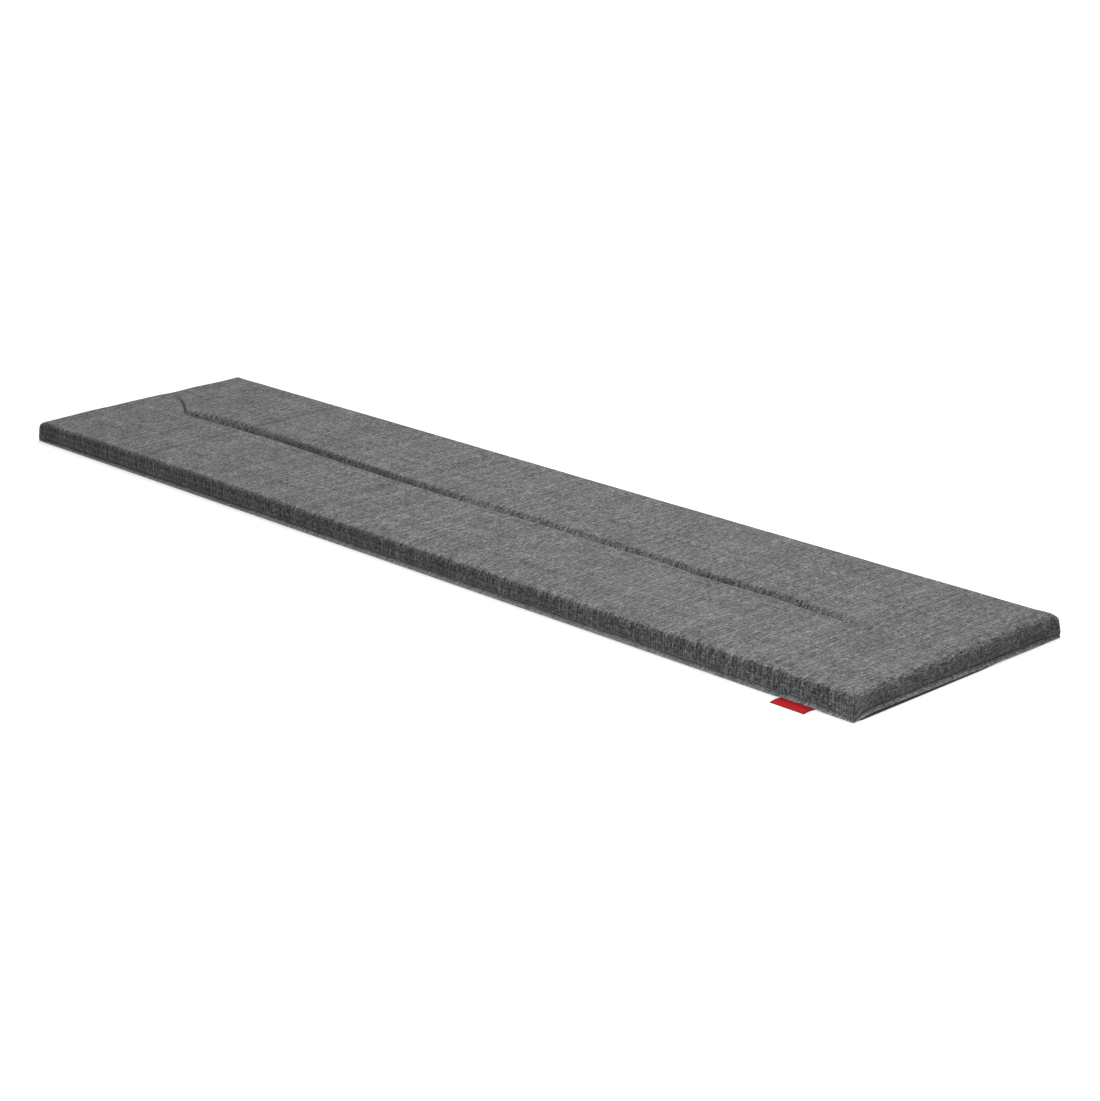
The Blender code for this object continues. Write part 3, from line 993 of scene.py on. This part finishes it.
ribbon_tab = ribbon_object()
ribbon_tab.visible_diffuse = False
print("ribbon:", len(ribbon_tab.data.polygons), "faces")

# %% [markdown]
# ## Topstitching
# One row of stitches runs round the pad in the groove. Each stitch is a short stretch of thread that dips
# into the cloth at both ends. A texture could paint them, but at the groove they catch the light as small
# beads, so each is a little closed form, and all of them together are one piece.

# %% Stitches
STITCH_PITCH = 0.0040
STITCH_LENGTH = 0.0032
THREAD_RADIUS = 0.00028
THREAD_SIDES = 6
STITCH_SHAPE = ((-0.5, 0.15), (-0.36, 0.85), (0.0, 1.0), (0.36, 0.85), (0.5, 0.15))
STITCH_SINK = 0.0004
STITCH_OUT, CORNER_STITCH_OUT, STITCH_RISE = 0.0004, 0.0002, 0.0002


def stitch_path():
    """The stitch line: just outside the groove's own ring."""
    inset, corner = groove_row.inset - STITCH_OUT, groove_row.corner - CORNER_STITCH_OUT
    row = groove_row._replace(inset=inset, corner=corner)
    path = ring_places(row, *rim_places(fine_cuts).T)
    path[:, 2] += STITCH_RISE
    return np.concatenate((path, path[:1]))


def along_path(path, reach):
    """Points of the path at these distances along it."""
    gone = np.concatenate(([0.0], np.cumsum(np.linalg.norm(np.diff(path, axis=0), axis=1))))
    return np.stack([np.interp(reach % gone[-1], gone, path[:, k]) for k in range(3)], -1), gone[-1]


def stitches_object():
    """Every stitch, as one mesh of small capsules."""
    path = stitch_path()
    whole = along_path(path, np.zeros(1))[1]
    count = int(whole // STITCH_PITCH)
    turns = [2.0 * math.pi * s / THREAD_SIDES for s in range(THREAD_SIDES)]
    bm = bmesh.new()
    for k in range(count):
        middle = (k + 0.5) * whole / count
        reach = middle + STITCH_LENGTH * np.array([place for place, _ in STITCH_SHAPE])
        spine = along_path(path, reach)[0]
        ahead = Vector(spine[-1] - spine[0]).normalized()
        side = ahead.cross(Vector((0.0, 0.0, 1.0))).normalized()
        up = side.cross(ahead)
        loops = []
        for place, (_, size) in zip(spine, STITCH_SHAPE):
            centre = Vector(place) - up * STITCH_SINK * (1.0 - size)
            around = [side * math.cos(turn) + up * math.sin(turn) for turn in turns]
            loops.append([bm.verts.new(centre + size * THREAD_RADIUS * way) for way in around])
        for a, b in zip(loops, loops[1:]):
            for s in range(THREAD_SIDES):
                bm.faces.new((a[s], b[s], b[(s + 1) % THREAD_SIDES], a[(s + 1) % THREAD_SIDES]))
        bm.faces.new(loops[0])
        bm.faces.new(loops[-1][::-1])
    bmesh.ops.recalc_face_normals(bm, faces=bm.faces)
    print("stitches:", count, "on a line of", round(whole, 3), "m")
    return smooth_piece("topstitching", bm)


topstitching = stitches_object()

# %% [markdown]
# ## The melange cloth
# The cover is a plain weave of mixed light and dark yarns. Yarns that run across the pad are the long,
# strong streaks, and those that run along it show as shorter dashes. A picture of cloth could be wrapped
# round the pad, but here each yarn is made in the material: the cut-cloth map, divided by the yarns' pitch,
# counts them, and each count gets its own line of noise along the yarn, so no two yarns are alike. In the
# photograph the lip is lighter than its slope explains, so the material also reads the lip's attribute and
# paints light onto the lip there: its colour is made lighter, and its yarns steadier.

# %% Small helpers for node trees
def put(tree, target, value):
    """Links a socket, or sets a plain number."""
    if isinstance(value, bpy.types.NodeSocket):
        tree.links.new(value, target)
    else:
        target.default_value = value


def maths(tree, operation, *values):
    """A Math node with these inputs."""
    node = tree.nodes.new("ShaderNodeMath")
    node.operation = operation
    for target, value in zip(node.inputs, values):
        put(tree, target, value)
    return node.outputs[0]


def noise_at(tree, dimensions, socket, place, scale=1.0, detail=0.0):
    """A Noise Texture node, read at this place."""
    noise = tree.nodes.new("ShaderNodeTexNoise")
    noise.noise_dimensions = dimensions
    noise.inputs["Scale"].default_value = scale
    noise.inputs["Detail"].default_value = detail
    tree.links.new(place, noise.inputs[socket])
    return noise.outputs


def line_noise(tree, place, swing):
    """Noise along a line, from about -1 to 1, with about one swing in each stretch."""
    noise = noise_at(tree, "1D", "W", maths(tree, "DIVIDE", place, swing))
    return maths(tree, "MULTIPLY_ADD", noise[0], 2.0, -1.0)


def own_number(tree, index, seed):
    """A random number from 0 to 1 for each whole index."""
    white = tree.nodes.new("ShaderNodeTexWhiteNoise")
    white.noise_dimensions = "1D"
    put(tree, white.inputs["W"], maths(tree, "ADD", index, seed))
    return white.outputs["Value"]


# %% Yarns
YARN_PITCH = 0.00088
YARNS_APART = 5000.0
WANDER, WANDER_SCALE = 0.0005, 22.0
Yarn = namedtuple("Yarn", "seed streak streak_swing slub slub_swing own")
CROSSWISE = Yarn(seed=0.5, streak=0.9, streak_swing=0.014, slub=0.8, slub_swing=0.005, own=0.95)
LENGTHWISE = Yarn(seed=7000.5, streak=0.7, streak_swing=0.009, slub=0.9, slub_swing=0.0035, own=0.60)


def plane_noise(tree, u, v, offset):
    """Smooth noise over a plane, from about -1 to 1."""
    place = tree.nodes.new("ShaderNodeCombineXYZ")
    put(tree, place.inputs[0], maths(tree, "ADD", u, offset))
    put(tree, place.inputs[1], v)
    noise = noise_at(tree, "2D", "Vector", place.outputs[0])
    return maths(tree, "MULTIPLY_ADD", noise[0], 2.0, -1.0)


def yarn_tone(tree, beside, along, yarn):
    """How light one yarn is here, around 0. It changes along the yarn, and every yarn differs."""
    own = own_number(tree, maths(tree, "FLOOR", beside), yarn.seed)
    place = maths(tree, "MULTIPLY_ADD", own, YARNS_APART, along)
    streak = maths(tree, "MULTIPLY", line_noise(tree, place, yarn.streak_swing / YARN_PITCH), yarn.streak)
    slub = maths(tree, "MULTIPLY", line_noise(tree, place, yarn.slub_swing / YARN_PITCH), yarn.slub)
    tone = maths(tree, "MULTIPLY_ADD", own, yarn.own, -yarn.own / 2)
    return maths(tree, "ADD", maths(tree, "ADD", streak, slub), tone)


def wandering(tree, place):
    """The cloth map with its yarns led a little astray, as no yarn in a real cloth is quite straight."""
    noise = noise_at(tree, "2D", "Vector", place, WANDER_SCALE, 1.0)
    shift = tree.nodes.new("ShaderNodeVectorMath")
    shift.operation = "MULTIPLY_ADD"
    tree.links.new(noise["Color"], shift.inputs[0])
    shift.inputs[1].default_value = (2 * WANDER, 2 * WANDER, 0.0)
    tree.links.new(place, shift.inputs[2])
    return shift.outputs[0]


# %% Over and under
def plain_weave(tree, u, v):
    """For places counted in yarns: which of two crossing yarns is on top, and how high it stands."""
    odd = maths(tree, "PINGPONG", maths(tree, "ADD", maths(tree, "FLOOR", u), maths(tree, "FLOOR", v)), 1.0)
    rounds = [maths(tree, "ABSOLUTE", maths(tree, "SINE", maths(tree, "MULTIPLY", place, math.pi)))
              for place in (u, v)]
    on_top = tree.nodes.new("ShaderNodeMix")
    tree.links.new(odd, on_top.inputs["Factor"])
    for target, height in zip((2, 3), rounds):
        tree.links.new(height, on_top.inputs[target])
    return odd, on_top.outputs[0]


def woven_tone(tree, u, v):
    """How light the yarn on top is here, and how high it stands."""
    odd, height = plain_weave(tree, u, v)
    tone = tree.nodes.new("ShaderNodeMix")
    tree.links.new(odd, tone.inputs["Factor"])
    tree.links.new(yarn_tone(tree, u, v, CROSSWISE), tone.inputs[2])
    tree.links.new(yarn_tone(tree, v, u, LENGTHWISE), tone.inputs[3])
    return tone.outputs[0], height


Finish = namedtuple("Finish", "hollow crest depth roughness")
BUMP_STRENGTH = 0.6
ROUGHNESS_SWING = 0.12


def by_height(tree, height, finish):
    """How much light reaches the cloth: less in the hollows between its yarns than on their crests."""
    return maths(tree, "MULTIPLY_ADD", height, finish.crest, finish.hollow)


def finish_cloth(tree, shader, colour, tone, height, finish):
    """Colour from the tone, and bump and roughness from how high the yarns stand."""
    tint = tree.nodes.new("ShaderNodeVectorMath")
    tint.operation = "SCALE"
    tint.inputs[0].default_value = colour
    tree.links.new(tone, tint.inputs["Scale"])
    tree.links.new(tint.outputs[0], shader.inputs["Base Color"])
    bump = tree.nodes.new("ShaderNodeBump")
    bump.inputs["Strength"].default_value = BUMP_STRENGTH
    bump.inputs["Distance"].default_value = finish.depth
    tree.links.new(height, bump.inputs["Height"])
    tree.links.new(bump.outputs[0], shader.inputs["Normal"])
    roughness = maths(tree, "MULTIPLY_ADD", height, -ROUGHNESS_SWING, finish.roughness + ROUGHNESS_SWING / 2)
    tree.links.new(roughness, shader.inputs["Roughness"])


# %% The cloth's material
CLOTH_GREY = 0.154
COOL = np.array((1.0, 1.015, 1.05))
MELANGE_FINISH = Finish(hollow=0.75, crest=0.35, depth=0.00025, roughness=0.9)
TONE_CONTRAST = 1.54
TONE_POWER = 1.5
# Painted light: where the lip attribute is full, the lip's colour is made this many times lighter.
LIP_PAINTED_GAIN = 2.9
LIP_STEADIER = 0.50
DARKEST = 0.15
MOTTLE, MOTTLE_SWING, MOTTLE_START = 0.12, 0.035, 31.7


def melange_cloth():
    """Plain weave of melange yarns, on the cut-cloth map."""
    material, tree, shader = new_material(
        "melange_cloth", Specular_IOR_Level=0.2, Sheen_Weight=0.35, Sheen_Roughness=0.5)
    place = tree.nodes.new("ShaderNodeUVMap")
    place.uv_map = MAP
    split = tree.nodes.new("ShaderNodeSeparateXYZ")
    tree.links.new(wandering(tree, place.outputs["UV"]), split.inputs[0])
    u, v = [maths(tree, "DIVIDE", split.outputs[axis], YARN_PITCH) for axis in ("X", "Y")]
    tone, height = woven_tone(tree, u, v)
    patch_u, patch_v = [maths(tree, "DIVIDE", split.outputs[axis], MOTTLE_SWING) for axis in ("X", "Y")]
    patches = plane_noise(tree, patch_u, patch_v, MOTTLE_START)
    mottled = maths(tree, "MULTIPLY_ADD", patches, MOTTLE, tone)
    lip = tree.nodes.new("ShaderNodeAttribute")
    lip.attribute_name = LIP_PAINTED_LIGHT
    steadier = maths(tree, "MULTIPLY_ADD", lip.outputs["Fac"], -LIP_STEADIER, 1.0)
    # Painted light on the lip: its colour is made lighter by its attribute.
    painted_light = maths(tree, "MULTIPLY_ADD", lip.outputs["Fac"], LIP_PAINTED_GAIN - 1.0, 1.0)
    mottled = maths(tree, "MULTIPLY", mottled, steadier)
    linear = maths(tree, "MAXIMUM", maths(tree, "MULTIPLY_ADD", mottled, TONE_CONTRAST, 1.0), DARKEST)
    grey = maths(tree, "POWER", linear, TONE_POWER)
    grey = maths(tree, "MULTIPLY", grey, by_height(tree, height, MELANGE_FINISH))
    grey = maths(tree, "MULTIPLY", grey, painted_light)
    finish_cloth(tree, shader, CLOTH_GREY * COOL, grey, height, MELANGE_FINISH)
    return material


# %% [markdown]
# ## Base cloth, ribbon and thread
# The base is a plain dark cloth with a finer weave. The ribbon is woven across in fine ribs, with firmer,
# darker selvedges. The thread is two plies twisted together. None of these is flattened out from one cut
# cloth, so they take their places from the object's own metres instead of a map.

# %% Base cloth, ribbon and thread
BASE_GREY = 0.085
BASE_PITCH = 0.0008
BASE_CONTRAST = 0.45
BASE_FINISH = Finish(hollow=0.90, crest=0.15, depth=0.00008, roughness=0.9)
RIBBON_RED = (0.60, 0.016, 0.026)
RIB_PITCH = 0.00055
RIBBON_WARP = 0.0004
SELVEDGE, SELVEDGE_DARKER = 0.0016, 0.18
RIBBON_FINISH = Finish(hollow=0.85, crest=0.25, depth=0.00012, roughness=0.7)
THREAD_GREY = 0.06
THREAD_COOL = np.array((1.0, 1.02, 1.08))
PLY_PITCH = 0.0005
THREAD_FINISH = Finish(hollow=0.70, crest=0.60, depth=0.0001, roughness=0.7)


def own_places(tree, *pitches):
    """The object's own x, y and z, each counted in a pitch."""
    coordinates = tree.nodes.new("ShaderNodeTexCoord")
    split = tree.nodes.new("ShaderNodeSeparateXYZ")
    tree.links.new(coordinates.outputs["Object"], split.inputs[0])
    return [maths(tree, "DIVIDE", split.outputs[axis], pitch) for axis, pitch in zip("XYZ", pitches)]


def dark_cloth():
    """Plain weave of dark yarns that differ only a little."""
    material, tree, shader = new_material("base_cloth", Specular_IOR_Level=0.2, Sheen_Weight=0.1)
    u, v = own_places(tree, BASE_PITCH, BASE_PITCH)
    yarns, height = woven_tone(tree, u, v)
    tone = maths(tree, "MULTIPLY_ADD", yarns, BASE_CONTRAST, 1.0)
    tone = maths(tree, "MULTIPLY", tone, by_height(tree, height, BASE_FINISH))
    finish_cloth(tree, shader, BASE_GREY * COOL, tone, height, BASE_FINISH)
    return material


def red_ribbon():
    """Fine ribs across the ribbon, warp lines along it, and two selvedges."""
    material, tree, shader = new_material("red_ribbon", Specular_IOR_Level=0.12)
    x, y = own_places(tree, 1.0, RIB_PITCH)
    away = maths(tree, "ABSOLUTE", maths(tree, "SUBTRACT", x, TAB_X))
    selvedge = maths(tree, "GREATER_THAN", away, TAB_WIDTH / 2 - SELVEDGE)
    _, ribs = plain_weave(tree, maths(tree, "DIVIDE", x, RIBBON_WARP), y)
    darker = maths(tree, "MULTIPLY_ADD", selvedge, -SELVEDGE_DARKER, 1.0)
    tone = maths(tree, "MULTIPLY", by_height(tree, ribs, RIBBON_FINISH), darker)
    finish_cloth(tree, shader, RIBBON_RED, tone, ribs, RIBBON_FINISH)
    return material


def dark_thread():
    """Two plies, as slanting bands of light and dark."""
    material, tree, shader = new_material("dark_thread", Specular_IOR_Level=0.3)
    x, y, z = own_places(tree, PLY_PITCH, PLY_PITCH, PLY_PITCH)
    slant = maths(tree, "ADD", maths(tree, "ADD", x, y), z)
    plies = maths(tree, "ABSOLUTE", maths(tree, "SINE", maths(tree, "MULTIPLY", slant, math.pi)))
    tone = by_height(tree, plies, THREAD_FINISH)
    finish_cloth(tree, shader, THREAD_GREY * THREAD_COOL, tone, plies, THREAD_FINISH)
    return material


# %% [markdown]
# ## Dressing the pieces
# Every piece gets its finish and rides on the frame's one body, and the imported piece it stands for is
# hidden. The stitches stand for none: the imported model has no thread.


# %% Dress the pieces
def dress(piece, material, node=None):
    """Gives a piece its material, hangs it on the frame's body, and hides the imported piece it replaces."""
    piece.data.materials.clear()
    piece.data.materials.append(material)
    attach(piece, "root")
    if node:
        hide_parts(node)


dress(cushion, melange_cloth(), "filled_cover")
dress(base_cloth, dark_cloth(), "base_panel")
dress(ribbon_tab, red_ribbon(), "side_tab")
dress(topstitching, dark_thread())
